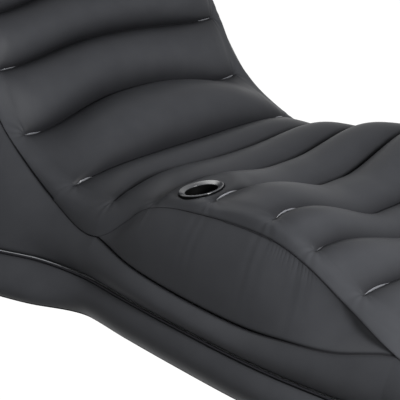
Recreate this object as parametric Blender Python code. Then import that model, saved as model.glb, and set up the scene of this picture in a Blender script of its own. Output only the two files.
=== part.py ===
# Inflatable pool lounger: welded vinyl sheets, inner webs, moulded cup holder and two air valves.
# Metres, +Z up, +X towards the feet, origin on the ground under the middle of the lounger.

import bpy
import bmesh
import math
import numpy as np
from mathutils import Matrix, Vector

# Driving sizes of the whole lounger
LENGTH = 2.0
WIDTH = 1.2
HEIGHT = 0.86
BASE_HEIGHT = 0.105
WELD_END_MARGIN = 0.21
BACK_CROWN = 0.03
HEAD_CROWN = 0.055
SEAT_CROWN = 0.02
SIDE_BULGE = 0.02
REAR_BULGE = 0.03
FOOT_BULGE = 0.02
BASE_BULGE = 0.032
SEAM_ROLL = 0.03

# Vinyl sheet and its welded joints
SHEET = 0.0004
GAP = 0.0003
EDGE_SETBACK = SHEET + GAP / 2
CORNER_SETBACK = 3 * SHEET
WEB_UPPER_CLEARANCE = 2 * (SHEET + GAP)
WEB_LOWER_CLEARANCE = 1.5 * (SHEET + GAP)
WELT_RADIUS = 0.003
WELT_STANDOFF = 1.6 * WELT_RADIUS

# Cup holder in the near arm
CUP_PLACE_SHARE = 0.565
CUP_INSET = 0.038
CUP_LENGTHWISE_TILT = math.radians(10)
CUP_CROSSWISE_TILT = math.radians(5)
CUP_RIM_RADIUS = 0.0555
CUP_HOLE_RADIUS = 0.0405
CUP_BASE_RADIUS = 0.0345
CUP_DEPTH = 0.092
CUP_WALL = 0.0016
CUP_COLLAR_DEPTH = 0.026
CUP_RIM_RISE = 0.004
CUP_SEAT_RISE = 0.006
CUP_RIM_ROUND = 0.003
CUP_FLAT_RADIUS = 0.075
CUP_BLEND_RADIUS = 0.15

# Air valve
VALVE_RING_RADIUS = 0.022
VALVE_RING_HALF_THICKNESS = 0.0022
VALVE_BORE_RADIUS = 0.0128
VALVE_TUBE_WALL = 0.0016
VALVE_TUBE_LENGTH = 0.018
VALVE_CLEARANCE = 0.0003
VALVE_SPOKE = 0.0018
PLUG_RADIUS = 0.0100
PLUG_DEPTH = 0.004
PLUG_WALL = 0.0014
CAP_RADIUS = 0.0165
CAP_THICKNESS = 0.0026
CAP_KNUCKLE_RADIUS = 0.0011
CAP_KNUCKLE_HALF_WIDTH = 0.0022
CAP_PIN_RADIUS = 0.0006
CAP_PIN_HALF_LENGTH = 0.0041
EAR_THICKNESS = 0.002
CAP_TONGUE_THICKNESS = 0.0016
FLAP_RADIUS = 0.0118
FLAP_THICKNESS = 0.0007

# How the curved sheets are drawn, as shares and powers of their own sizes
TROUGH_START_SHARE = 0.1
TROUGH_END_SHARE = 0.92
CREST_POWER = 2.2
RECESS_POWER = 1.5
CROWN_POWER = 0.65
CROWN_FADE_START_SHARE = 0.45
CROWN_FADE_END_SHARE = 1.08
HEAD_POWER = 0.8
CUP_CROWN_SHARE = 0.4
CUP_FADE_START_SHARE = 1.35
BASE_TURN_SHARE = 0.96
BASE_TURN_POWER = 0.9
FLARE_POWER = 1.5
PANEL_TIP_SHARE = 0.08
CORNER_REACH_SHARE = 0.6
PULL_LIMIT_SHARE = 0.4

# Steps for measuring a surface's direction, as shares of a cross line's spacing
NORMAL_STEP_SHARE = 0.002
END_MARGIN_SHARE = 0.01
FRAME_STEP_SHARE = 0.01

# Mesh steps
CHANNEL_STEPS = 4
HALF_STEPS_INNER = 5
HALF_STEPS_OUTER = 3
GUSSET_STEPS = 4
SIDE_STEPS = 5
REAR_STEPS = 6
FOOT_STEPS = 3
BASE_STEPS = 4
ROUND_STEPS = 32
FLAP_STEPS = 24
ROD_STEPS = 12

# Each cross line of the top, head to feet, as shares: the weld's end and middle along LENGTH and HEIGHT
LINE_NAMES = ("head", "back_0", "back_1", "back_2", "crease", "seat_1", "seat_2", "seat_3",
              "seat_4", "seat_5", "seat_6", "leg_7", "leg_8", "foot")
END_X_SHARES = (-0.458, -0.392, -0.358, -0.309, -0.2065, -0.1315, -0.047, 0.042,
                0.139, 0.203, 0.274, 0.348, 0.420, 0.478)
END_Z_SHARES = (0.978, 0.768, 0.613, 0.430, 0.341, 0.342, 0.388,
                0.445, 0.474, 0.426, 0.356, 0.306, 0.283, 0.250)
RECESS_SHARES = (0.012, 0.030, 0.030, 0.024, 0, 0, 0, 0, 0, 0, 0, 0, 0, -0.006)
MIDDLE_Z_SHARES = (0.998, 0.785, 0.624, 0.464, 0.355, 0.340, 0.358,
                   0.360, 0.355, 0.329, 0.320, 0.302, 0.285, 0.262)
EDGE_TURN_SHARES = (1, 1, 1, 1, 1, 0.85, 0.50, 0.50, 0.45, 0.40, 0.45, 0.75, 1, 1)
CREST_SHARES = (0, 0, 0, 0, 0.008, 0.012, 0.014, 0.003, 0, 0, 0, 0, 0, 0)

# The top sheets' outer seam on the same lines, then the lower edge of the arm panels,
# which is the same line where there is no panel
SEAM_Y_SHARES = (0.330, 0.358, 0.366, 0.368, 0.371, 0.388, 0.362, 0.361,
                 0.361, 0.363, 0.372, 0.405, 0.400, 0.352)
SEAM_X_SHARES = (-0.460, -0.416, -0.373, -0.322, -0.2235, -0.128, -0.050, 0.042,
                 0.139, 0.204, 0.276, 0.359, 0.424, 0.470)
SEAM_Z_SHARES = (0.940, 0.765, 0.610, 0.448, 0.290, 0.246, 0.382, 0.420,
                 0.427, 0.399, 0.335, 0.288, 0.262, 0.232)
LOWER_Y_SHARES = (0.330, 0.358, 0.366, 0.368, 0.371, 0.388, 0.408, 0.414,
                  0.417, 0.424, 0.422, 0.405, 0.400, 0.352)
LOWER_X_SHARES = (-0.460, -0.416, -0.373, -0.322, -0.2235, -0.128, -0.050, 0.038,
                  0.139, 0.215, 0.281, 0.359, 0.424, 0.470)
LOWER_Z_SHARES = (0.940, 0.765, 0.610, 0.448, 0.290, 0.246, 0.216, 0.197,
                  0.192, 0.215, 0.240, 0.288, 0.262, 0.232)
ARM_BULGE_SHARES = (0, 0, 0, 0, 0, 0, 0.016, 0.018, 0.010, -0.013, -0.023, 0, 0, 0)

# The seam on top of the base, in plan, on the same lines
BASE_X_SHARES = (-0.449, -0.405, -0.350, -0.290, -0.215, -0.135, -0.050,
                 0.040, 0.140, 0.210, 0.280, 0.350, 0.415, 0.451)
BASE_Y_SHARES = (0.415, 0.458, 0.466, 0.465, 0.424, 0.410, 0.422,
                 0.432, 0.440, 0.440, 0.431, 0.420, 0.400, 0.362)
BASE_FLARE_SHARES = (0, 0.016, 0.026, 0.032, 0.040, 0.002, 0, 0, 0, 0, 0, 0, 0, 0)
REAR_BOW = 0.0728
FOOT_BOW = 0.072
CORNER_POWER = 3

# Where the pieces inside and at the back sit, as shares
REAR_WEB_STEPS = (1, 2, 4, 5)
BASE_WEB_X_SHARES = (-0.30, -0.10, 0.10, 0.30)
BASE_WEB_Y_SHARE = 0.36
UPPER_VALVE_ACROSS_SHARE = -0.35
UPPER_VALVE_DOWN_SHARE = 0.72
BASE_VALVE_DOWN_SHARE = 0.5

CREASE = LINE_NAMES.index("crease")
ARM_START = LINE_NAMES.index("seat_1")
ARM_END = LINE_NAMES.index("leg_7")


def clear_scene():
    for thing in list(bpy.data.objects):
        bpy.data.objects.remove(thing, do_unlink=True)


def material(name, color, roughness, metallic=0.0):
    made = bpy.data.materials.new(name)
    made.use_nodes = True
    shader = made.node_tree.nodes["Principled BSDF"]
    shader.inputs["Base Color"].default_value = (*color, 1.0)
    shader.inputs["Roughness"].default_value = roughness
    shader.inputs["Metallic"].default_value = metallic
    return made


def add_object(name, mesh, look):
    mesh.materials.clear()
    mesh.materials.append(look)
    made = bpy.data.objects.new(name, mesh)
    bpy.context.scene.collection.objects.link(made)
    return made


def smooth_shade(mesh, degrees=40):
    mesh.shade_smooth()
    mesh.set_sharp_from_angle(angle=math.radians(degrees))


# Smooth curve through one value for each cross line
def along(values, place):
    values = np.asarray(values, float)
    place = np.asarray(place, float)
    slopes = np.gradient(values)
    cell = np.clip(np.floor(place).astype(int), 0, len(values) - 2)
    t = place - cell
    a, b = values[cell], values[cell + 1]
    ta, tb = slopes[cell], slopes[cell + 1]
    return (a * (2 * t**3 - 3 * t**2 + 1) + ta * (t**3 - 2 * t**2 + t)
            + b * (3 * t**2 - 2 * t**3) + tb * (t**3 - t**2))


def smoothstep(value, low, high):
    t = np.clip((value - low) / (high - low), 0, 1)
    return t * t * (3 - 2 * t)


# The top surface with its welds but no crowns: place counts cross lines, across runs from -2 to 2,
# with 1 at the weld's end and 2 at the outer seam
def top_base(place, across):
    side = np.sign(across)
    reach = np.abs(across)
    inner = np.clip(reach, 0, 1)
    turn = along(EDGE_TURN_SHARES, place) * math.pi / 2
    outer = np.clip(reach - 1, 0, 1) * turn
    sunk = (1 - np.cos(outer)) / (1 - np.cos(turn))
    end_x = along(END_X_SHARES, place) * LENGTH
    end_z = along(END_Z_SHARES, place) * HEIGHT
    middle_z = along(MIDDLE_Z_SHARES, place) * HEIGHT
    crest = along(CREST_SHARES, place) * HEIGHT
    recess = along(RECESS_SHARES, place) * LENGTH
    seam_x = along(SEAM_X_SHARES, place) * LENGTH
    seam_y = along(SEAM_Y_SHARES, place) * WIDTH
    seam_z = along(SEAM_Z_SHARES, place) * HEIGHT
    weld_y = np.minimum(WIDTH / 2 - WELD_END_MARGIN, seam_y - SEAM_ROLL)
    x = end_x - recess * np.maximum(np.cos(math.pi / 2 * inner), 0) ** RECESS_POWER
    z = middle_z + (end_z - middle_z) * smoothstep(inner, TROUGH_START_SHARE, TROUGH_END_SHARE)
    z = z + crest * np.sin(math.pi * inner**CREST_POWER)
    y = weld_y * inner + (seam_y - weld_y) * np.sin(outer) / np.sin(turn)
    z = z - (end_z - seam_z) * sunk
    x = x + (seam_x - end_x) * sunk
    return np.stack([x, side * y, z], -1)


def normals_of(surface, place, across, step=NORMAL_STEP_SHARE):
    along_x = surface(place + step, across) - surface(place - step, across)
    along_y = surface(place, across + step) - surface(place, across - step)
    normal = np.cross(along_x, along_y)
    return normal / np.linalg.norm(normal, axis=-1, keepdims=True)


# The top surface with the crown of each channel, flattened round the cup holder
def top(place, across):
    place = np.asarray(place, float) + 0 * across
    across = np.asarray(across, float) + 0 * place
    points = top_base(place, across)
    phase = place - np.floor(place)
    crown = np.where(place < CREASE, BACK_CROWN, SEAT_CROWN) * (place >= 1)
    fade = 1 - smoothstep(np.abs(across), CROWN_FADE_START_SHARE, CROWN_FADE_END_SHARE)
    lift = crown * fade * np.sin(math.pi * phase) ** CROWN_POWER
    safe = np.clip(place, END_MARGIN_SHARE, len(LINE_NAMES) - 1 - END_MARGIN_SHARE)
    points = points + lift[..., None] * normals_of(top_base, safe, across)
    head = top_base(np.array(0.0), np.array(0.0))
    chord = top_base(np.array(1.0), np.array(0.0)) - head
    upright = np.array([-chord[2], 0, chord[0]]) / np.linalg.norm(chord)
    rounding = HEAD_CROWN * np.sin(math.pi * np.clip(place, 0, 1)) ** HEAD_POWER
    points = points + np.where(place < 1, rounding, 0)[..., None] * upright
    centre = cup_centre()
    offset = points - centre
    from_cup = np.hypot(offset[..., 0], offset[..., 1])
    flat = 1 - smoothstep(from_cup, CUP_FLAT_RADIUS, CUP_BLEND_RADIUS)
    flat = flat * (1 - smoothstep(np.abs(across), CUP_FADE_START_SHARE, 2))
    level = centre[2] + offset[..., 0] * math.tan(CUP_LENGTHWISE_TILT)
    level = level + offset[..., 1] * math.tan(CUP_CROSSWISE_TILT)
    points[..., 2] = points[..., 2] * (1 - flat) + level * flat
    return points


# The cup holder's middle on the sheet, a set distance in from the ends of the welds beside it
def cup_centre():
    place = np.array(LINE_NAMES.index("seat_2") + CUP_PLACE_SHARE)
    weld_end = top_base(place, np.array(-1.0))
    across = -1 - CUP_INSET / weld_end[1]
    centre = top_base(place, across)
    centre[2] += SEAT_CROWN * CUP_CROWN_SHARE
    return centre


def cup_axis():
    return Vector((-math.tan(CUP_LENGTHWISE_TILT), -math.tan(CUP_CROSSWISE_TILT), 1)).normalized()


# The side wall's upper seam: under the arm panel where there is one, else the top sheet's own
def wall_edge(place):
    beside_arm = ((place > ARM_START) & (place < ARM_END))[..., None]
    return np.where(beside_arm, lower_edge(place), top(place, 2.0 + 0 * place))


def lower_edge(place):
    return np.stack([along(LOWER_X_SHARES, place) * LENGTH,
                     along(LOWER_Y_SHARES, place) * WIDTH,
                     along(LOWER_Z_SHARES, place) * HEIGHT], -1)


# The seam on top of the base: near and far sides run along the cross lines
def base_side(place):
    return np.stack([along(BASE_X_SHARES, place) * LENGTH,
                     along(BASE_Y_SHARES, place) * WIDTH,
                     BASE_HEIGHT + 0 * place], -1)


def base_end(last, share, bow):
    corner = base_side(np.array(float(last)))
    outward = np.sign(corner[0])
    x = corner[0] + outward * bow * (1 - np.abs(share) ** CORNER_POWER)
    return np.stack([x, corner[1] * share, BASE_HEIGHT + 0 * share], -1)


def across_row():
    inner = np.linspace(0, 1, HALF_STEPS_INNER + 1)
    outer = 1 + np.linspace(0, 1, HALF_STEPS_OUTER + 1)[1:]
    half = np.concatenate([inner, outer])
    return np.concatenate([-half[:0:-1], half])


def rows(first, last):
    return np.linspace(first, last, (last - first) * CHANNEL_STEPS + 1)


# Pulls the border rows of a grid in along the sheet, so that neighbouring sheets keep their gap
def set_back(grid, first=EDGE_SETBACK, last=EDGE_SETBACK, left=EDGE_SETBACK, right=EDGE_SETBACK):
    grid = grid.copy()

    def pull(edge, inside, distance):
        way = inside - edge
        size = np.linalg.norm(way, axis=-1, keepdims=True)
        return edge + way * np.minimum(distance / np.maximum(size, GAP), PULL_LIMIT_SHARE)

    grid[0] = pull(grid[0], grid[1], first)
    grid[-1] = pull(grid[-1], grid[-2], last)
    grid[:, 0] = pull(grid[:, 0], grid[:, 1], left)
    grid[:, -1] = pull(grid[:, -1], grid[:, -2], right)
    return grid


# A vinyl sheet: one layer of quads given its thickness inwards
def sheet_object(name, grid, look, flip=False, offset=-1.0):
    bm = bmesh.new()
    verts = [[bm.verts.new(Vector(p)) for p in row] for row in grid]
    for i in range(len(grid) - 1):
        for j in range(len(grid[0]) - 1):
            ring = [verts[i][j], verts[i + 1][j], verts[i + 1][j + 1], verts[i][j + 1]]
            bm.faces.new(ring[::-1] if flip else ring)
    bmesh.ops.remove_doubles(bm, verts=bm.verts, dist=GAP / 10)
    mesh = bpy.data.meshes.new(name)
    bm.to_mesh(mesh)
    bm.free()
    smooth_shade(mesh, 50)
    made = add_object(name, mesh, look)
    wall = made.modifiers.new("sheet_thickness", "SOLIDIFY")
    wall.thickness = SHEET
    wall.offset = offset
    return made


def cutter(name, radius, length, place, axis):
    bm = bmesh.new()
    bmesh.ops.create_cone(bm, cap_ends=True, segments=ROUND_STEPS, radius1=radius, radius2=radius,
                          depth=length)
    mesh = bpy.data.meshes.new(name)
    bm.to_mesh(mesh)
    bm.free()
    made = bpy.data.objects.new(name, mesh)
    bpy.context.scene.collection.objects.link(made)
    made.matrix_world = Matrix.Translation(place) @ axis.to_track_quat("Z", "Y").to_matrix().to_4x4()
    made.hide_render = True
    made.display_type = "WIRE"
    return made


def combine(target, tool, operation="DIFFERENCE"):
    change = target.modifiers.new(tool.name, "BOOLEAN")
    change.operation = operation
    change.object = tool


# A closed outline of (radius, height) points turned about +Z
def turned(name, outline, look, steps=ROUND_STEPS):
    bm = bmesh.new()
    points = [bm.verts.new((r, 0, z)) for r, z in outline]
    edges = [bm.edges.new((points[i], points[(i + 1) % len(points)])) for i in range(len(points))
             if outline[i][0] > 0 or outline[(i + 1) % len(points)][0] > 0]
    bmesh.ops.spin(bm, geom=points + edges, axis=(0, 0, 1), cent=(0, 0, 0), angle=2 * math.pi,
                   steps=steps, use_merge=True)
    bmesh.ops.remove_doubles(bm, verts=bm.verts, dist=GAP / 10)
    bmesh.ops.recalc_face_normals(bm, faces=bm.faces)
    mesh = bpy.data.meshes.new(name)
    bm.to_mesh(mesh)
    bm.free()
    smooth_shade(mesh)
    return add_object(name, mesh, look)


def mirror_far(grid):
    return grid * np.array([1, -1, 1])


def build_top_sheets(look):
    place = rows(0, CREASE)
    beside_corner = np.abs(place - 1) < CORNER_REACH_SHARE
    edge = np.where(beside_corner, CORNER_SETBACK, EDGE_SETBACK)[:, None]
    back = top(place[:, None], across_row()[None, :])
    back = set_back(back, first=2 * CORNER_SETBACK, left=edge, right=edge)
    sheet_object("backrest_sheet", back, look)
    seat = set_back(top(rows(CREASE, len(LINE_NAMES) - 1)[:, None], across_row()[None, :]))
    made = sheet_object("seat_sheet", seat, look)
    hole = cutter("cup_hole_cutter", CUP_RIM_RADIUS + GAP, CUP_DEPTH, Vector(cup_centre()), cup_axis())
    combine(made, hole)


# The leaf-shaped panel of each arm, between the top sheet's seam and the side wall's seam
def build_arm_panels(look):
    place = rows(ARM_START, ARM_END)[1:-1][:, None]
    down = np.linspace(0, 1, GUSSET_STEPS + 1)[None, :]
    upper = top(place[:, 0], 2.0 + 0 * place[:, 0])[:, None, :]
    lower = lower_edge(place[:, 0])[:, None, :]
    grid = upper + (lower - upper) * down[..., None]
    bulge = along(ARM_BULGE_SHARES, place) * HEIGHT * np.sin(math.pi * down)
    grid[..., 1] += bulge
    tip_a = lower_edge(np.array([float(ARM_START)]))[:, None, :] + 0 * grid[:1]
    tip_b = lower_edge(np.array([float(ARM_END)]))[:, None, :] + 0 * grid[:1]
    tip_a = tip_a + (grid[:1] - tip_a) * PANEL_TIP_SHARE
    tip_b = tip_b + (grid[-1:] - tip_b) * PANEL_TIP_SHARE
    grid = set_back(np.concatenate([tip_a, grid, tip_b]), first=0, last=0)
    sheet_object("arm_panel_far", grid, look)
    sheet_object("arm_panel_near", mirror_far(grid), look, flip=True)


def build_side_walls(look):
    place = rows(0, len(LINE_NAMES) - 1)
    down = np.linspace(0, 1, SIDE_STEPS + 1)[None, :, None]
    upper = wall_edge(place)[:, None, :]
    lower = base_side(place)[:, None, :]
    grid = upper + (lower - upper) * down
    from_end = np.minimum(place, place[-1] - place)[:, None]
    grid[..., 1] += SIDE_BULGE * np.sin(math.pi * down[..., 0]) * smoothstep(from_end, 0, 1)
    grid = set_back(grid, first=CORNER_SETBACK, last=CORNER_SETBACK)
    sheet_object("side_wall_far", grid, look)
    sheet_object("side_wall_near", mirror_far(grid), look, flip=True)


def rear_surface(share, down):
    across = share * 2
    upper = top(0 * share, across)
    lower = base_end(0, upper[..., 1] / (along(SEAM_Y_SHARES, 0.0) * WIDTH), REAR_BOW)
    points = upper + (lower - upper) * down[..., None]
    points[..., 0] -= REAR_BULGE * np.sin(math.pi * down) * (1 - np.abs(share) ** CORNER_POWER)
    return points


def foot_surface(share, down):
    last = len(LINE_NAMES) - 1
    upper = top(last + 0 * share, share * 2)
    lower = base_end(last, upper[..., 1] / (along(SEAM_Y_SHARES, float(last)) * WIDTH), FOOT_BOW)
    points = upper + (lower - upper) * down[..., None]
    points[..., 0] += FOOT_BULGE * np.sin(math.pi * down) * (1 - np.abs(share) ** CORNER_POWER)
    return points


def build_end_walls(look):
    share = across_row()[:, None] / 2
    down = np.linspace(0, 1, REAR_STEPS + 1)[None, :]
    rear = rear_surface(share + 0 * down, down + 0 * share)
    rear = set_back(rear, left=CORNER_SETBACK, right=CORNER_SETBACK, first=CORNER_SETBACK)
    made = sheet_object("rear_wall", rear, look)
    down = np.linspace(0, 1, FOOT_STEPS + 1)[None, :]
    foot = set_back(foot_surface(share + 0 * down, down + 0 * share))
    sheet_object("foot_wall", foot, look, flip=True)
    return made


# The base seam's near half, from the middle of the rear to the middle of the foot
def base_half():
    share = across_row() / 2
    half = share[share <= 0]
    seam = top(0 * half, half * 2)[:, 1] / (along(SEAM_Y_SHARES, 0.0) * WIDTH)
    rear = base_end(0, -seam[::-1], REAR_BOW)
    side = base_side(rows(0, len(LINE_NAMES) - 1))
    last = len(LINE_NAMES) - 1
    seam = top(last + 0 * half, half * 2)[:, 1] / (along(SEAM_Y_SHARES, float(last)) * WIDTH)
    foot = base_end(last, -seam, FOOT_BOW)
    return np.concatenate([rear[:-1], side, foot[1:]])


# How far the base's foot flares out past its seam, along the same points as base_half
def base_flare():
    ends = np.zeros(HALF_STEPS_INNER + HALF_STEPS_OUTER)
    side = np.maximum(along(BASE_FLARE_SHARES, rows(0, len(LINE_NAMES) - 1)), 0) * WIDTH
    return np.concatenate([ends, side, ends])


def base_bulge(down):
    return BASE_BULGE * np.sin(math.pi * down * BASE_TURN_SHARE) ** BASE_TURN_POWER


def outward_in_plan(line):
    way = np.gradient(line, axis=0)
    out = np.stack([-way[:, 1], way[:, 0], 0 * way[:, 0]], -1)
    return out / np.linalg.norm(out, axis=-1, keepdims=True)


def base_wall_grid():
    line = base_half()
    out = outward_in_plan(line)
    out[0] = (-1, 0, 0)
    out[-1] = (1, 0, 0)
    down = np.linspace(0, 1, BASE_STEPS + 1)[None, :, None]
    flare = base_flare()[:, None, None] * np.sin(math.pi / 2 * down) ** FLARE_POWER
    grid = line[:, None, :] + out[:, None, :] * (base_bulge(down) + flare)
    grid[..., 2] = BASE_HEIGHT * (1 - down[..., 0]) + SHEET + GAP
    grid[..., 2] = np.minimum(grid[..., 2], BASE_HEIGHT)
    return grid


def build_base_walls(look):
    grid = set_back(base_wall_grid())
    grid[:, -1, 2] = SHEET + GAP
    sheet_object("base_wall_far", grid, look)
    return sheet_object("base_wall_near", mirror_far(grid), look, flip=True)


# A flat sheet that fills the base seam's outline
def flat_sheet(name, inset, height, look, edge=None):
    line = base_half() if edge is None else edge
    out = outward_in_plan(line)
    out[0] = (-1, 0, 0)
    out[-1] = (1, 0, 0)
    line = line - out * inset
    line[0, 1] = 0
    line[-1, 1] = 0
    line[:, 2] = height
    share = np.array([-1, 1])[None, :, None]
    grid = line[:, None, :] * (np.array([1, 0, 1]) + share * np.array([0, 1, 0]))
    return sheet_object(name, grid, look, offset=1.0)


def build_flat_sheets(look):
    wall = base_wall_grid()[:, -1]
    flat_sheet("bottom_sheet", -SHEET, SHEET, look, edge=wall).modifiers[0].offset = -1.0
    flat_sheet("chamber_divider", EDGE_SETBACK + GAP, BASE_HEIGHT, look)


# A web between two matching rows of points, held clear of both
def web_object(name, upper, lower, look, clear_upper, clear_lower):
    way = lower - upper
    size = np.linalg.norm(way, axis=-1, keepdims=True)
    top_edge = upper + way / size * clear_upper
    foot_edge = lower - way / size * clear_lower
    grid = np.stack([top_edge, foot_edge], 1)
    return sheet_object(name, grid, look, offset=0.0)


def build_webs(look):
    reach = np.linspace(-1, 1, 2 * HALF_STEPS_INNER + 1)
    for line, name in enumerate(LINE_NAMES):
        if name in ("head", "foot"):
            continue
        upper = top(line + 0 * reach, reach)
        if line < CREASE:
            lower = rear_surface(reach / 2, REAR_WEB_STEPS[line - 1] / REAR_STEPS + 0 * reach)
        else:
            lower = upper * np.array([1, 1, 0]) + np.array([0, 0, BASE_HEIGHT + SHEET])
        web_object("web_" + name, upper, lower, look, WEB_UPPER_CLEARANCE, WEB_LOWER_CLEARANCE)
    for index, share in enumerate(BASE_WEB_X_SHARES):
        y = reach * BASE_WEB_Y_SHARE * WIDTH
        upper = np.stack([share * LENGTH + 0 * y, y, BASE_HEIGHT + 0 * y], -1)
        lower = np.stack([share * LENGTH + 0 * y, y, SHEET + 0 * y], -1)
        web_object("base_web_" + str(index + 1), upper, lower, look, GAP, GAP)


# The piped rim of the base seam
def build_welt(look):
    line = base_half()
    out = outward_in_plan(line)
    out[0] = (-1, 0, 0)
    out[-1] = (1, 0, 0)
    line = line + out * WELT_STANDOFF
    loop = np.concatenate([line, mirror_far(line)[-2:0:-1]])
    curve = bpy.data.curves.new("base_welt", "CURVE")
    curve.dimensions = "3D"
    curve.bevel_depth = WELT_RADIUS
    curve.bevel_resolution = 0
    spline = curve.splines.new("POLY")
    spline.points.add(len(loop) - 1)
    for point, place in zip(spline.points, loop):
        point.co = (*place, 1)
    spline.use_cyclic_u = True
    made = bpy.data.objects.new("base_welt", curve)
    curve.materials.append(look)
    bpy.context.scene.collection.objects.link(made)


def build_cup_holder(look):
    rim = CUP_RIM_RISE
    outline = [
        (0, -CUP_DEPTH), (CUP_BASE_RADIUS - CUP_RIM_ROUND, -CUP_DEPTH),
        (CUP_BASE_RADIUS, CUP_RIM_ROUND - CUP_DEPTH),
        (CUP_HOLE_RADIUS, -CUP_RIM_ROUND + rim), (CUP_HOLE_RADIUS + CUP_RIM_ROUND, rim),
        (CUP_RIM_RADIUS - CUP_RIM_ROUND, rim - CUP_RIM_ROUND / 2), (CUP_RIM_RADIUS, -CUP_RIM_ROUND),
        (CUP_RIM_RADIUS, -CUP_COLLAR_DEPTH), (CUP_RIM_RADIUS - CUP_WALL, -CUP_COLLAR_DEPTH),
        (CUP_RIM_RADIUS - CUP_WALL, -CUP_RIM_ROUND - CUP_WALL),
        (CUP_HOLE_RADIUS + CUP_WALL, -CUP_RIM_ROUND - CUP_WALL),
        (CUP_BASE_RADIUS + CUP_WALL, -CUP_DEPTH), (CUP_BASE_RADIUS - CUP_RIM_ROUND, -CUP_DEPTH - CUP_WALL),
        (0, -CUP_DEPTH - CUP_WALL)]
    made = turned("cup_holder", outline, look)
    place = Vector(cup_centre()) + cup_axis() * CUP_SEAT_RISE
    made.matrix_world = Matrix.Translation(place) @ cup_axis().to_track_quat("Z", "Y").to_matrix().to_4x4()


def valve_frame(surface, a, b, step=FRAME_STEP_SHARE):
    here = surface(np.array(a), np.array(b))
    side = surface(np.array(a + step), np.array(b)) - surface(np.array(a - step), np.array(b))
    down = surface(np.array(a), np.array(b + step)) - surface(np.array(a), np.array(b - step))
    normal = np.cross(side, down)
    normal = normal / np.linalg.norm(normal)
    if normal[0] > 0:
        normal = -normal
    level = np.cross(np.array([0, 0, 1.0]), normal)
    level = level / np.linalg.norm(level)
    upward = np.cross(normal, level)
    return Matrix(((level[0], upward[0], normal[0], here[0]), (level[1], upward[1], normal[1], here[1]),
                   (level[2], upward[2], normal[2], here[2]), (0, 0, 0, 1)))


def base_rear_surface(share, down):
    line = base_end(0, share, REAR_BOW)
    line[..., 0] -= base_bulge(down)
    line[..., 2] = BASE_HEIGHT * (1 - down)
    return line


def box_mesh(bm, low, high):
    made = bmesh.ops.create_cube(bm, size=1)
    size = [high[k] - low[k] for k in range(3)]
    middle = [(high[k] + low[k]) / 2 for k in range(3)]
    bmesh.ops.transform(bm, verts=made["verts"],
                        matrix=Matrix.Translation(middle) @ Matrix.Diagonal((*size, 1)))


# A hidden tool in a valve's frame: a box, or a rod along X
def tool_object(name, frame, box=None, rod=None):
    bm = bmesh.new()
    if box:
        box_mesh(bm, *box)
    else:
        radius, half_length, y, z = rod
        turn = Matrix.Translation((0, y, z)) @ Matrix.Rotation(math.pi / 2, 4, "Y")
        bmesh.ops.create_cone(bm, cap_ends=True, segments=ROD_STEPS, radius1=radius, radius2=radius,
                              depth=2 * half_length, matrix=turn)
    mesh = bpy.data.meshes.new(name)
    bm.to_mesh(mesh)
    bm.free()
    made = bpy.data.objects.new(name, mesh)
    bpy.context.scene.collection.objects.link(made)
    made.matrix_world = frame
    made.hide_render = True
    made.display_type = "WIRE"
    return made


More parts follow.
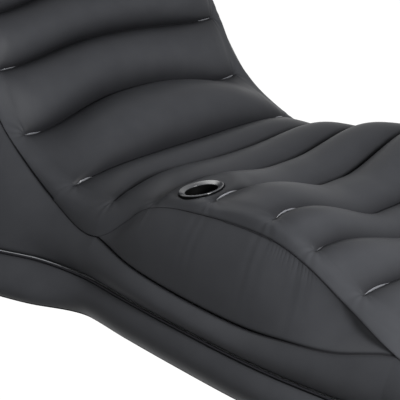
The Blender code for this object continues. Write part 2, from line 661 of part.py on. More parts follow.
# One air valve in the frame: +Z out of the wall, +Y up the wall
def build_valve(name, frame, wall, ring_look, cap_look, flap_look):
    combine(wall, cutter(name + "_hole_cutter", VALVE_RING_RADIUS + GAP, 4 * VALVE_RING_RADIUS,
                     frame.to_translation(), frame.to_3x3().col[2]))
    face = VALVE_RING_HALF_THICKNESS
    ring = turned(name + "_ring", [
        (VALVE_BORE_RADIUS, -face), (VALVE_BORE_RADIUS, face), (VALVE_RING_RADIUS - face / 2, face),
        (VALVE_RING_RADIUS, face / 2), (VALVE_RING_RADIUS, -face)], ring_look)
    ring.matrix_world = frame
    outer = VALVE_BORE_RADIUS - VALVE_CLEARANCE
    bore = outer - VALVE_TUBE_WALL
    bore_mouth = face - VALVE_CLEARANCE
    tube = turned(name + "_body", [
        (bore, bore_mouth), (bore, -VALVE_TUBE_LENGTH),
        (outer, -VALVE_TUBE_LENGTH), (outer, bore_mouth)], ring_look)
    tube.matrix_world = frame
    spoke = bpy.data.meshes.new(name + "_spoke")
    bm = bmesh.new()
    inside = bore - VALVE_CLEARANCE
    box_mesh(bm, (-inside, -VALVE_SPOKE / 2, -VALVE_TUBE_LENGTH),
             (inside, VALVE_SPOKE / 2, VALVE_SPOKE - VALVE_TUBE_LENGTH))
    bm.to_mesh(spoke)
    bm.free()
    bar = add_object(name + "_spoke", spoke, ring_look)
    bar.matrix_world = frame
    flap_top = FLAP_RADIUS
    flap = turned(name + "_flap", [
        (0, 0), (FLAP_RADIUS, 0), (FLAP_RADIUS, -FLAP_THICKNESS), (0, -FLAP_THICKNESS)],
        flap_look, steps=FLAP_STEPS)
    flap.data.transform(Matrix.Translation((0, -flap_top, 0)))
    flap.matrix_world = frame @ Matrix.Translation((0, flap_top, -VALVE_TUBE_LENGTH - VALVE_CLEARANCE))
    hinge_y = CAP_RADIUS + CAP_KNUCKLE_RADIUS + VALVE_CLEARANCE
    hinge_z = face + VALVE_CLEARANCE + CAP_KNUCKLE_RADIUS
    seat = face + VALVE_CLEARANCE
    cap = turned(name + "_cap", [
        (0, seat + CAP_THICKNESS), (CAP_RADIUS - CAP_THICKNESS / 3, seat + CAP_THICKNESS),
        (CAP_RADIUS, seat + CAP_THICKNESS / 2), (CAP_RADIUS, seat), (PLUG_RADIUS, seat),
        (PLUG_RADIUS - VALVE_CLEARANCE, seat - PLUG_DEPTH), (PLUG_RADIUS - PLUG_WALL, seat - PLUG_DEPTH),
        (PLUG_RADIUS - PLUG_WALL, seat), (0, seat)], cap_look)
    cap.data.transform(Matrix.Translation((0, -hinge_y, -hinge_z)))
    cap.matrix_world = frame @ Matrix.Translation((0, hinge_y, hinge_z))
    knuckle = CAP_KNUCKLE_HALF_WIDTH
    tongue_low = (-knuckle, CAP_RADIUS - CAP_TONGUE_THICKNESS, seat)
    tongue_high = (knuckle, hinge_y, seat + CAP_TONGUE_THICKNESS)
    combine(cap, tool_object(name + "_tongue", frame, box=(tongue_low, tongue_high)), "UNION")
    barrel = (CAP_KNUCKLE_RADIUS, knuckle, hinge_y, hinge_z)
    combine(cap, tool_object(name + "_knuckle", frame, rod=barrel), "UNION")
    pin = (CAP_PIN_RADIUS, CAP_PIN_HALF_LENGTH, hinge_y, hinge_z)
    combine(cap, tool_object(name + "_pin", frame, rod=pin), "UNION")
    for side in (-1, 1):
        near, far = knuckle + VALVE_CLEARANCE, knuckle + VALVE_CLEARANCE + EAR_THICKNESS
        low = (min(side * near, side * far), hinge_y - CAP_KNUCKLE_RADIUS, 0)
        high = (max(side * near, side * far), hinge_y + CAP_KNUCKLE_RADIUS, hinge_z + CAP_KNUCKLE_RADIUS)
        ear = tool_object(name + ("_ear_a" if side < 0 else "_ear_b"), frame, box=(low, high))
        combine(ring, ear, "UNION")
    pin_hole = (CAP_PIN_RADIUS + VALVE_CLEARANCE, 2 * CAP_PIN_HALF_LENGTH, hinge_y, hinge_z)
    combine(ring, tool_object(name + "_ear_bore", frame, rod=pin_hole))
    for moving in (cap, flap):
        print(moving.name, "hinge", [round(v, 5) for v in moving.matrix_world.to_translation()])
    print(name, "axis", [round(v, 5) for v in frame.to_3x3().col[0]])


def main():
    clear_scene()
    vinyl = material("charcoal_vinyl", (0.045, 0.046, 0.049), 0.4)
    clear_vinyl = material("natural_vinyl", (0.35, 0.36, 0.37), 0.35)
    moulded = material("moulded_vinyl", (0.03, 0.03, 0.032), 0.45)
    rubber = material("valve_rubber", (0.02, 0.02, 0.02), 0.6)
    build_top_sheets(vinyl)
    build_arm_panels(vinyl)
    build_side_walls(vinyl)
    rear = build_end_walls(vinyl)
    base_near = build_base_walls(vinyl)
    build_flat_sheets(vinyl)
    build_webs(clear_vinyl)
    build_welt(vinyl)
    build_cup_holder(moulded)
    upper = valve_frame(rear_surface, UPPER_VALVE_ACROSS_SHARE, UPPER_VALVE_DOWN_SHARE)
    build_valve("upper_valve", upper, rear, moulded, moulded, rubber)
    lower = valve_frame(base_rear_surface, UPPER_VALVE_ACROSS_SHARE, BASE_VALVE_DOWN_SHARE)
    build_valve("base_valve", lower, base_near, moulded, moulded, rubber)


main()
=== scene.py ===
import math
import bmesh
import bpy
import numpy as np
from mathutils import Matrix, Vector


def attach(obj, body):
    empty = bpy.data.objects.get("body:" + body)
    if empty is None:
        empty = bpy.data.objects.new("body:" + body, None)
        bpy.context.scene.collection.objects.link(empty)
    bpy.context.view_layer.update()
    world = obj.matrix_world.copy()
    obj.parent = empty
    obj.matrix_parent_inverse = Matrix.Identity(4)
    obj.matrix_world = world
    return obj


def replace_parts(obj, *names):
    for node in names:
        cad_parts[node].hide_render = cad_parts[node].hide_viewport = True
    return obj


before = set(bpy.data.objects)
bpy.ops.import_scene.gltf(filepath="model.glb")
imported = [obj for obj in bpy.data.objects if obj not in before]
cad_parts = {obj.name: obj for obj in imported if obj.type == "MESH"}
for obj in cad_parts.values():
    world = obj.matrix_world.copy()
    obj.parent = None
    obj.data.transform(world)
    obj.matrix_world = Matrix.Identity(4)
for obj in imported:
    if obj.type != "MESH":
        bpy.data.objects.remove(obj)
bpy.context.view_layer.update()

# Inflatable pool lounger, in metres: +X to the feet, +Y to the arm without a cup holder, +Z up
body = "lounger"
vinylThickness = 0.0004


# driving sizes of the inflated form, as in the CAD
lounger = {
    "length": 2.0,
    "width": 1.2,
    "height": 0.86,
    "baseHeight": 0.105,
    "weldEndMargin": 0.21,     # from the overall width in to the ends of the welds
    "backArch": 0.34,          # rise of a channel as a share of its width
    "seatArch": 0.25,
    "crownOverrun": 0.042,     # the channels' crowns run out past the ends of the welds by this much
    "lowestLean": 1.25,        # the lowest back channel hangs over the crease
    "headCrown": 0.055,
    "sideBulge": 0.02,
    "rearBulge": 0.03,
    "footBulge": 0.02,
    "baseBulge": 0.032,
    "seamRoll": 0.03,
    "rearBow": 0.0728,
    "footBow": 0.072,
    "edgeSoftness": 0.046,     # how far the turn over the edge is spread to both sides
    "troughFloor": 0.09,       # the two shape the recessed trough across the body
    "troughPower": 0.75,
    "troughFrom": 0.1,         # the trough's side rises between these shares of the weld
    "troughTo": 0.92,
    "crownFall": 4,            # the crowns keep their height, then fall quickly towards the ends
    "crownFallPower": 1.5,
    "softFrom": (0.6, 0.95),   # across the body, where the softened turn sets in and where it ends
    "softTo": (1.0, 1.95),
    "baseBulgeSpan": 0.96,     # the base's round ends a little short of a half circle
    "baseBulgePower": 0.9,
    "groundClear": 0.0007,     # the walls' lower edges lie this far above the floor
}
# from the middle to the end of a weld
weldLength = lounger["width"] / 2 - lounger["weldEndMargin"]
# steps to both sides over which the turn over the edge is averaged, with their weights
softSteps = ((-1.0, 0.15), (-0.5, 0.22), (0.0, 0.26), (0.5, 0.22), (1.0, 0.15))

# cross lines from the head to the foot, as shares of length, width and height: the ends of the welds, their
# middle, the seam at the edge, the arm panel's lower seam and the seam on top of the base
lines = ("head", "back0", "back1", "back2", "crease", "seat1", "seat2", "seat3",
         "seat4", "seat5", "seat6", "leg7", "leg8", "foot")
crease = lines.index("crease")
armStart = lines.index("seat1")
armEnd = lines.index("leg7")
lastLine = len(lines) - 1
endXShares = (-0.458, -0.392, -0.358, -0.309, -0.2065, -0.1315, -0.047,
              0.042, 0.139, 0.203, 0.274, 0.348, 0.420, 0.478)
endZShares = (0.978, 0.768, 0.613, 0.430, 0.341, 0.342, 0.388,
              0.445, 0.474, 0.426, 0.356, 0.306, 0.283, 0.250)
recessShares = (0.012, 0.030, 0.030, 0.024, 0, 0, 0, 0, 0, 0, 0, 0, 0, -0.006)
middleZShares = (0.998, 0.785, 0.624, 0.464, 0.355, 0.340, 0.358,
                 0.360, 0.355, 0.329, 0.320, 0.302, 0.285, 0.262)
edgeTurnShares = (1, 1, 1, 1, 1, 0.85, 0.50, 0.50, 0.45, 0.40, 0.45, 0.75, 1, 1)
crestShares = (0, 0, 0, 0, 0.008, 0.012, 0.014, 0.003, 0, 0, 0, 0, 0, 0)
seamYShares = (0.330, 0.358, 0.366, 0.368, 0.371, 0.388, 0.362,
               0.361, 0.361, 0.363, 0.372, 0.405, 0.400, 0.352)
seamXShares = (-0.460, -0.416, -0.373, -0.322, -0.2235, -0.128, -0.050,
               0.042, 0.139, 0.204, 0.276, 0.359, 0.424, 0.470)
seamZShares = (0.940, 0.765, 0.610, 0.448, 0.290, 0.246, 0.382,
               0.420, 0.427, 0.399, 0.335, 0.288, 0.262, 0.232)
lowerYShares = (0.330, 0.358, 0.366, 0.368, 0.371, 0.388, 0.408,
                0.414, 0.417, 0.424, 0.422, 0.405, 0.400, 0.352)
lowerXShares = (-0.460, -0.416, -0.373, -0.322, -0.2235, -0.128, -0.050,
                0.038, 0.139, 0.215, 0.281, 0.359, 0.424, 0.470)
lowerZShares = (0.940, 0.765, 0.610, 0.448, 0.290, 0.246, 0.216,
                0.197, 0.192, 0.215, 0.240, 0.288, 0.262, 0.232)
armBulgeShares = (0, 0, 0, 0, 0, 0, 0.016, 0.018, 0.010, -0.013, -0.023, 0, 0, 0)
baseXShares = (-0.449, -0.405, -0.350, -0.290, -0.215, -0.135, -0.050,
               0.040, 0.140, 0.210, 0.280, 0.350, 0.415, 0.451)
baseYShares = (0.415, 0.458, 0.466, 0.465, 0.424, 0.410, 0.422,
               0.432, 0.440, 0.440, 0.431, 0.420, 0.400, 0.362)
baseFlareShares = (0, 0.016, 0.026, 0.032, 0.040, 0.002, 0, 0, 0, 0, 0, 0, 0, 0)


def along(shares, place):
    values = np.asarray(shares, float)
    place = np.asarray(place, float)
    slopes = np.gradient(values)
    cell = np.clip(np.floor(place).astype(int), 0, len(values) - 2)
    t = place - cell
    a, b = values[cell], values[cell + 1]
    slopeA, slopeB = slopes[cell], slopes[cell + 1]
    return (a * (2 * t**3 - 3 * t**2 + 1) + slopeA * (t**3 - 2 * t**2 + t)
            + b * (3 * t**2 - 2 * t**3) + slopeB * (t**3 - t**2))


def smoothStep(value, low, high):
    t = np.clip((value - low) / (high - low), 0, 1)
    return t * t * (3 - 2 * t)


# the top without its crowns, still sharp where the edge begins to turn down
def topFrame(place, across):
    s = lounger
    side = np.sign(across)
    reach = np.abs(across)
    inner = np.clip(reach, 0, 1)
    turn = along(edgeTurnShares, place) * math.pi / 2
    outer = np.clip(reach - 1, 0, 1) * turn
    sunk = (1 - np.cos(outer)) / (1 - np.cos(turn))
    endX = along(endXShares, place) * s["length"]
    endZ = along(endZShares, place) * s["height"]
    middleZ = along(middleZShares, place) * s["height"]
    crest = along(crestShares, place) * s["height"]
    floor, power = s["troughFloor"], s["troughPower"]
    dip = (np.cos(math.pi / 2 * inner) ** 2 + floor) ** power - floor**power
    recess = along(recessShares, place) * s["length"] * dip / ((1 + floor) ** power - floor**power)
    seamX = along(seamXShares, place) * s["length"]
    seamY = along(seamYShares, place) * s["width"]
    seamZ = along(seamZShares, place) * s["height"]
    weldY = np.minimum(weldLength, seamY - s["seamRoll"])
    z = middleZ + (endZ - middleZ) * smoothStep(inner, s["troughFrom"], s["troughTo"])
    z = z + crest * np.sin(math.pi * inner**2.2)
    y = weldY * inner + (seamY - weldY) * np.sin(outer) / np.sin(turn)
    z = z - (endZ - seamZ) * sunk
    x = endX - recess + (seamX - endX) * sunk
    return np.stack([x, side * y, z], -1)


# from the end of a weld out to the seam
def seamLength(place):
    return np.maximum(along(seamYShares, place) * lounger["width"] - weldLength, lounger["seamRoll"])


# metres past the weld's end along a cross line, below zero on the weld itself
def pastWeld(place, across):
    reach = np.abs(across)
    return (reach - 1) * np.where(reach < 1, weldLength, seamLength(place))


# the ribbed top without its crowns: across is 1 at a weld's end and 2 at the outer seam
def topBase(place, across):
    side = np.where(across < 0, -1, 1)
    reach = np.abs(across)
    spread = smoothStep(reach, *lounger["softFrom"]) * (1 - smoothStep(reach, *lounger["softTo"]))
    spread = lounger["edgeSoftness"] * spread
    points = 0
    for step, weight in softSteps:
        past = pastWeld(place, across) + step * spread
        moved = 1 + np.where(past < 0, past / weldLength, past / seamLength(place))
        points = points + weight * topFrame(place, side * moved)
    return points


def normalsOf(surface, place, across, step=0.002):
    alongX = surface(place + step, across) - surface(place - step, across)
    alongY = surface(place, across + step) - surface(place, across - step)
    normal = np.cross(alongX, alongY)
    return normal / np.maximum(np.linalg.norm(normal, axis=-1, keepdims=True), 1e-9)


cup = {
    "placeShare": 0.565,       # between the welds seat2 and seat3
    "inset": 0.038,            # outwards from the ends of those welds
    "lengthwiseTilt": math.radians(10),
    "crosswiseTilt": math.radians(5),
    "rimRadius": 0.0555,
    "holeRadius": 0.0405,
    "baseRadius": 0.0345,
    "depth": 0.092,
    "wall": 0.0016,
    "collarDepth": 0.026,
    "seatRise": 0.014,         # the flat round it lies above the plain surface by this much
    "lipTop": 0.0040,
    "lipFall": 0.0050,
    "polishedFrom": -0.0055,   # the lip is shiny above this height
    "rimRounding": 0.0022,
    "holeRounding": 0.0016,
    "wellTaperIn": 0.0008,     # the well starts this much inside the hole and this far below its edge
    "wellDrop": 0.006,
    "footRounding": 0.006,
    "footChamfer": 0.004,
    "holeClearance": 0.0003,   # between the collar and the skin round it
    "sides": 96,
    "flatRadius": 0.060,       # the skin is flat out to here, and free of the cup holder from there on
    "blendRadius": 0.135,
    "edgeFade": (1.35, 2.0),   # across the body, where the flat gives way to the edge
    "toolDepth": 0.06,
}


def cupFrame():
    place = np.array(lines.index("seat2") + cup["placeShare"])
    weldEnd = topBase(place, np.array(-1.0))
    centre = topBase(place, -1 - cup["inset"] / weldEnd[1])
    centre[2] += cup["seatRise"]
    axis = Vector((-math.tan(cup["lengthwiseTilt"]), -math.tan(cup["crosswiseTilt"]), 1)).normalized()
    return centre, axis


cupCentre, cupAxis = cupFrame()
cupPlace = Matrix.Translation(Vector(cupCentre)) @ cupAxis.to_track_quat("Z", "Y").to_matrix().to_4x4()


welds = {
    "halfWidth": 0.0013,       # flat bottom of each weld groove
    "pinchDepth": 0.0060,      # the weld pulls the skin in by this much below the channels
    "pinchWidth": 0.0050,
    "puckerHeight": 0.0009,    # small folds fan out from the end of each weld
    "puckerReach": 0.015,
    "puckerFolds": 9,
    "shadeShare": 0.85,        # painted shade beside a weld, as a share of the shade colour
    "shadeReach": 0.030,
    "shadeFade": (-0.012, 0.022),    # past the weld's end, where each of the three dies away
    "pinchFade": (-0.004, 0.018),
    "puckerFrom": (-0.012, 0.004),
}


# a channel's section, a circle's arc over a chord of 1 that rises by the given share of it
def arch(phase, rise):
    radius = (0.25 + rise**2) / (2 * rise)
    return np.sqrt(radius**2 - (np.clip(phase, 0, 1) - 0.5) ** 2) - (radius - rise)


# the channel between two cross lines: the line before, the share of the way to the next, the width
def channelAt(place, across):
    cell = np.clip(np.floor(place), 0, lastLine - 1)
    return cell, place - cell, np.linalg.norm(topBase(cell + 1, across) - topBase(cell, across), axis=-1)


def betweenWelds(place):
    return (place > 0.5) & (place < lastLine - 0.5)


# painted shade beside a weld, none at the head and foot seams
def weldShade(place, across):
    cell, phase, channel = channelAt(place, across)
    toWeld = np.where(cell == lastLine - 1, phase, np.minimum(phase, 1 - phase))
    toWeld = np.where(cell == 0, 1 - phase, toWeld)
    held = 1 - smoothStep(pastWeld(place, across), *welds["shadeFade"])
    return welds["shadeShare"] * held * np.exp(-(toWeld * channel / welds["shadeReach"]) ** 1.2)


def lowerEdge(place):
    s = lounger
    return np.stack([along(lowerXShares, place) * s["length"],
                     along(lowerYShares, place) * s["width"],
                     along(lowerZShares, place) * s["height"]], -1)


# the crest between the top and the arm panel is rounded off: both sheets sink together towards their seam
armCrest = {
    "sink": 0.010,
    "width": 0.040,
    "tickHeight": 0.0007,      # short creases where the panel is gathered under the crest
    "tickReach": 0.010,
    "tickFrom": 7.9,
    "tickTo": 9.5,
    "tickEase": 0.5,
    "ticksPerLine": 11,
    "easeIn": 0.7,             # in cross lines, over which the rounding grows and dies away
    "easeOut": 1.2,
    "endGap": 0.02,            # the panel stops this share of a line short of its two tips
}


def crestSink(place, distance):
    a = armCrest
    share = smoothStep(place, armStart, armStart + a["easeIn"])
    share = share * (1 - smoothStep(place, armEnd - a["easeOut"], armEnd))
    return a["sink"] * share * np.exp(-(distance / a["width"]) ** 1.5)


# the way halfway between the top's and the panel's outward ways
def crestWay(place):
    edge = 2 + 0 * place
    above = normalsOf(topBase, place, edge - 0.004)
    down = lowerEdge(place) - topBase(place, edge)
    run = topBase(place + 0.01, edge) - topBase(place - 0.01, edge)
    beside = np.cross(down, run)
    beside = beside / np.maximum(np.linalg.norm(beside, axis=-1, keepdims=True), 1e-9)
    beside = beside * np.sign(beside[..., 1:2])
    above = above * np.sign(above[..., 2:3])
    mean = above + beside
    return mean / np.linalg.norm(mean, axis=-1, keepdims=True)


def puckers(place, across, phase, channel):
    w = welds
    past = pastWeld(place, across)
    beside = np.where(phase < 0.5, phase, phase - 1) * channel
    far = np.hypot(beside, past) / w["puckerReach"]
    fold = np.cos(w["puckerFolds"] * np.arctan2(beside, past)) * far * np.exp(1 - far)
    return w["puckerHeight"] * fold * smoothStep(past, *w["puckerFrom"]) * betweenWelds(place)


# the ribbed top skin, with a narrow flat at the bottom of each weld
def top(place, across):
    s = lounger
    place = np.asarray(place, float) + 0 * across
    across = np.asarray(across, float) + 0 * place
    points = topBase(place, across)
    cell, phase, channel = channelAt(place, across)
    fromWeld = np.maximum(np.minimum(phase, 1 - phase) * channel - welds["halfWidth"], 0)
    toEnd = (weldLength + pastWeld(place, across)) / (weldLength + s["crownOverrun"])
    fade = np.clip(1 - toEnd ** s["crownFall"], 0, 1) ** s["crownFallPower"]
    leaning = np.where(cell == crease - 1, phase ** s["lowestLean"], phase)
    lift = np.where(place < crease, arch(leaning, s["backArch"]), arch(phase, s["seatArch"]))
    lift = lift * channel * fade * (place >= 1)
    normal = normalsOf(topBase, np.clip(place, 0.01, lastLine - 0.01), across)
    points = points + lift[..., None] * normal
    head = topBase(np.array(0.0), np.array(0.0))
    chord = topBase(np.array(1.0), np.array(0.0)) - head
    upright = np.array([-chord[2], 0, chord[0]]) / np.linalg.norm(chord)
    rounding = s["headCrown"] * np.sin(math.pi * np.clip(place, 0, 1)) ** 0.8
    rounding = np.where(place < 1, rounding, 0)
    points = points + rounding[..., None] * upright
    offset = points - cupCentre
    flat = 1 - smoothStep(np.hypot(offset[..., 0], offset[..., 1]), cup["flatRadius"], cup["blendRadius"])
    flat = flat * (1 - smoothStep(np.abs(across), *cup["edgeFade"]))
    level = cupCentre[2] + offset[..., 0] * math.tan(cup["lengthwiseTilt"])
    level = level + offset[..., 1] * math.tan(cup["crosswiseTilt"])
    points[..., 2] = points[..., 2] * (1 - flat) + level * flat
    held = (1 - smoothStep(pastWeld(place, across), *welds["pinchFade"])) * betweenWelds(place)
    pinch = held * welds["pinchDepth"] * np.exp(-fromWeld / welds["pinchWidth"])
    points = points + (puckers(place, across, phase, channel) - pinch)[..., None] * normal
    toSeam = np.maximum(2 - np.abs(across), 0) * (along(seamYShares, place) * s["width"] - weldLength)
    gap = armCrest["endGap"]
    way = crestWay(np.clip(place, armStart + gap, armEnd - gap))
    way = way * np.stack([1 + 0 * across, np.where(across < 0, -1, 1), 1 + 0 * across], -1)
    return points - crestSink(place, toSeam)[..., None] * way


# the side wall's upper seam: under the arm panel where there is one, else the top's own seam
def wallEdge(place):
    besideArm = ((place > armStart) & (place < armEnd))[..., None]
    return np.where(besideArm, lowerEdge(place), top(place, 2.0 + 0 * place))


def baseSide(place):
    s = lounger
    return np.stack([along(baseXShares, place) * s["length"],
                     along(baseYShares, place) * s["width"],
                     s["baseHeight"] + 0 * place], -1)


def baseEnd(last, share, bow):
    corner = baseSide(np.array(float(last)))
    x = corner[0] + np.sign(corner[0]) * bow * (1 - np.abs(share) ** 3)
    return np.stack([x, corner[1] * share, lounger["baseHeight"] + 0 * share], -1)


def armPanel(place, down):
    upper = top(place, 2.0 + 0 * place)
    lower = lowerEdge(place)
    points = upper + (lower - upper) * down[..., None]
    points[..., 1] += along(armBulgeShares, place) * lounger["height"] * np.sin(math.pi * down)
    distance = down * np.linalg.norm(lower - topBase(place, 2 + 0 * place), axis=-1)
    a = armCrest
    gathered = smoothStep(place, a["tickFrom"], a["tickFrom"] + a["tickEase"])
    gathered = gathered * (1 - smoothStep(place, a["tickTo"] - a["tickEase"], a["tickTo"]))
    uneven = 2 * np.sin(9 * place)
    tick = np.maximum(np.sin(2 * math.pi * a["ticksPerLine"] * place + uneven), 0) ** 2
    tick = tick * gathered * (distance / a["tickReach"]) * np.exp(1 - distance / a["tickReach"])
    points[..., 1] -= a["tickHeight"] * tick
    settled = crestSink(place, distance) - crestSink(place, 0 * distance) * (1 - down)
    return points - settled[..., None] * crestWay(place)


def sideWall(place, down):
    upper = wallEdge(place)
    lower = baseSide(place)
    points = upper + (lower - upper) * down[..., None]
    fromEnd = np.minimum(place, lastLine - place)
    points[..., 1] += lounger["sideBulge"] * np.sin(math.pi * down) * smoothStep(fromEnd, 0, 1)
    return points


# the webs of the back are welded to the rear wall as well: shallow furrows across it
rearWelds = {
    "shares": (1 / 6, 2 / 6, 4 / 6),
    "depth": 0.010,
    "width": 0.022,
    "pinchDepth": 0.003,
    "pinchWidth": 0.004,
    # painted shade along each furrow, and how far it reaches
    "shade": 0.7,
    "shadeReach": 0.010,
    "valve": (-0.30, 0.324),   # y and z of the air valve, round which the wall stays plain
    "valveClear": (0.050, 0.095),
    "endFade": (0.47, 0.53),   # across the wall, where the furrows die away
}


def rearPlain(share, down):
    upper = top(0 * share, share * 2)
    seamY = along(seamYShares, 0.0) * lounger["width"]
    lower = baseEnd(0, upper[..., 1] / seamY, lounger["rearBow"])
    points = upper + (lower - upper) * down[..., None]
    points[..., 0] -= lounger["rearBulge"] * np.sin(math.pi * down) * (1 - np.abs(share) ** 3)
    return points


# metres to the nearest furrow, and how firmly the wall is held there
def toFurrow(points, share, down):
    height = lounger["height"] - lounger["baseHeight"]
    nearest = np.min([np.abs(down - furrow) for furrow in rearWelds["shares"]], axis=0) * height
    valveY, valveZ = rearWelds["valve"]
    fromValve = np.hypot(points[..., 1] - valveY, points[..., 2] - valveZ)
    held = 1 - smoothStep(np.abs(share), *rearWelds["endFade"])
    return nearest, held * smoothStep(fromValve, *rearWelds["valveClear"])


# painted shade along the rear wall's furrows
def rearShade(share, down):
    nearest, held = toFurrow(rearPlain(share, down), share, down)
    return rearWelds["shade"] * held * np.exp(-(nearest / rearWelds["shadeReach"]) ** 1.2)


def rearWall(share, down):
    w = rearWelds
    points = rearPlain(share, down)
    nearest, held = toFurrow(points, share, down)
    furrow = w["depth"] * np.exp(-(nearest / w["width"]) ** 1.4)
    furrow = furrow + w["pinchDepth"] * np.exp(-nearest / w["pinchWidth"])
    points[..., 0] += furrow * held
    return points


def footWall(share, down):
    upper = top(lastLine + 0 * share, share * 2)
    seamY = along(seamYShares, float(lastLine)) * lounger["width"]
    lower = baseEnd(lastLine, upper[..., 1] / seamY, lounger["footBow"])
    points = upper + (lower - upper) * down[..., None]
    points[..., 0] += lounger["footBulge"] * np.sin(math.pi * down) * (1 - np.abs(share) ** 3)
    return points


# the base seam's far half: turn runs 0..1 over the rear, 1..2 along the side, 2..3 over the foot
def baseLine(turn):
    share = 1 - np.clip(turn - 2, 0, 1)
    rear = baseEnd(0, np.clip(turn, 0, 1), lounger["rearBow"])
    side = baseSide(np.clip(turn - 1, 0, 1) * lastLine)
    foot = baseEnd(lastLine, share, lounger["footBow"])
    return np.where((turn < 1)[..., None], rear, np.where((turn > 2)[..., None], foot, side))


def baseOutward(turn):
    step = 0.004
    way = baseLine(np.minimum(turn + step, 3)) - baseLine(np.maximum(turn - step, 0))
    out = np.stack([-way[..., 1], way[..., 0], 0 * way[..., 0]], -1)
    out = out / np.linalg.norm(out, axis=-1, keepdims=True)
    out = np.where((turn <= 0)[..., None], np.array([-1.0, 0, 0]), out)
    return np.where((turn >= 3)[..., None], np.array([1.0, 0, 0]), out)


def baseWall(turn, down):
    s = lounger
    points = baseLine(turn)
    bulge = s["baseBulge"] * np.sin(math.pi * down * s["baseBulgeSpan"]) ** s["baseBulgePower"]
    flare = along(baseFlareShares, np.clip(turn - 1, 0, 1) * lastLine) * s["width"]
    flare = np.maximum(flare, 0) * np.sin(math.pi / 2 * down) ** 1.5
    points = points + baseOutward(turn) * (bulge + flare)[..., None]
    points[..., 2] = np.minimum(s["baseHeight"] * (1 - down) + s["groundClear"], s["baseHeight"])
    return points


# rows or columns that lie closer together towards the marked ends
def eased(first, last, steps, ends="both"):
    t = np.linspace(0, 1, steps + 1)
    if ends == "both":
        t = 0.5 - 0.5 * np.cos(math.pi * t)
    if ends == "last":
        t = np.sin(math.pi / 2 * t)
    return first + (last - first) * t


def joined(*parts):
    return np.concatenate([parts[0]] + [part[1:] for part in parts[1:]])


def channelRows(first, last, steps):
    return joined(*[eased(line, line + 1, steps) for line in range(first, last)])


def topColumns():
    half = joined(np.linspace(0, 0.82, 34), np.linspace(0.82, 1.1, 22), eased(1.1, 2, 26, "last"))
    return np.concatenate([-half[:0:-1], half])


# sheets roll inwards where they are welded to a neighbour: depth and width of the groove,
# and the strength of the painted shade beside the seam
grooves = {
    "armSeam": (0.0012, 0.0022, 0.55),
    "wallSeam": (0.0038, 0.0026, 1.0),
    "endSeam": (0.0022, 0.0030, 0.6),
    "baseSeam": (0.0052, 0.0050, 0.8),
    "bottomSeam": (0.0030, 0.0050, 0.4),
}
mirrorY = np.array([1, -1, 1])
shadeReach = 1.9               # of the painted shade strip, in groove widths
armSeamEase = (0.4, 2.6)       # in cross lines from the panel's head end


# the arm's seam is pulled smooth at its head end
def seamStrength(groove, place):
    if groove != "armSeam":
        return 1 + 0 * place
    return smoothStep(place - armStart, *armSeamEase)


def rollEdges(points, normals, roll, place):
    paintedShade = 0 * points[..., 0]
    for edge, groove in roll.items():
        depth, width, shade = grooves[groove]
        strength = seamStrength(groove, place)
        if edge in ("first", "last"):
            rows = points if edge == "first" else points[::-1]
            run = np.linalg.norm(np.diff(rows, axis=0), axis=-1)
            far = np.concatenate([0 * run[:1], np.cumsum(run, axis=0)])
            far = far if edge == "first" else far[::-1]
        else:
            rows = points if edge == "left" else points[:, ::-1]
            run = np.linalg.norm(np.diff(rows, axis=1), axis=-1)
            far = np.concatenate([0 * run[:, :1], np.cumsum(run, axis=1)], axis=1)
            far = far if edge == "left" else far[:, ::-1]
        points = points - normals * (strength * depth * np.exp(-(far / width) ** 1.5))[..., None]
        # painted shade beside the seam
        paintedShade = np.maximum(paintedShade, strength * shade * np.exp(-((far / (shadeReach * width)) ** 1.5)))
    return points, paintedShade


# one sheet of the skin: a grid laid on its surface, with true lengths as its UV map
def makeSkin(name, surface, rows, columns, look, flip=False, mirror=False, roll=None, shade=None, offset=-1):
    a, b = np.meshgrid(rows, columns, indexing="ij")
    points = surface(a, b)
    alongRows = np.gradient(points, axis=0)
    alongColumns = np.gradient(points, axis=1)
    normals = np.cross(alongRows, alongColumns)
    size = np.linalg.norm(normals, axis=-1, keepdims=True)
    normals = normals / np.maximum(size, 1e-12)
    if flip:
        normals = -normals
    # painted shade beside seams and welds, kept as a vertex attribute
    paintedShade = 0 * a
    if roll:
        points, paintedShade = rollEdges(points, normals, roll, a)
    if shade:
        paintedShade = np.maximum(paintedShade, shade(a, b))
    if mirror:
        points = points * mirrorY
    bm = bmesh.new()
    rowCount, columnCount = points.shape[:2]
    bmesh.ops.create_grid(bm, x_segments=rowCount - 1, y_segments=columnCount - 1, size=0.5)
    uvLayer = bm.loops.layers.uv.new("skinLengths")
    paintedShadeLayer = bm.verts.layers.float.new("paintedShade")
    lengthA = np.concatenate([[0], np.cumsum(np.linalg.norm(np.diff(points, axis=0), axis=-1).mean(1))])
    lengthB = np.concatenate([[0], np.cumsum(np.linalg.norm(np.diff(points, axis=1), axis=-1).mean(0))])
    places = {}
    for vert in bm.verts:
        i = round((vert.co.x + 0.5) * (rowCount - 1))
        j = round((vert.co.y + 0.5) * (columnCount - 1))
        places[vert] = (i, j)
    for face in bm.faces:
        for loop in face.loops:
            i, j = places[loop.vert]
            loop[uvLayer].uv = (lengthA[i], lengthB[j])
    for vert, (i, j) in places.items():
        vert.co = points[i, j]
        vert[paintedShadeLayer] = paintedShade[i, j]
    bmesh.ops.remove_doubles(bm, verts=bm.verts, dist=0.00002)
    bm.normal_update()
    if flip != mirror:
        bmesh.ops.reverse_faces(bm, faces=bm.faces)
    for face in bm.faces:
        face.smooth = True
    mesh = bpy.data.meshes.new(name)
    bm.to_mesh(mesh)
    bm.free()
    mesh.materials.append(look)
    piece = bpy.data.objects.new(name, mesh)
    bpy.context.scene.collection.objects.link(piece)
    wall = piece.modifiers.new("vinylThickness", "SOLIDIFY")
    wall.thickness = vinylThickness
    wall.offset = offset
    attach(piece, body)
    return piece


def toLinear(hexColor):
    channels = [int(hexColor[i:i + 2], 16) / 255 for i in (1, 3, 5)]
    return [c / 12.92 if c <= 0.04045 else ((c + 0.055) / 1.055) ** 2.4 for c in channels] + [1.0]


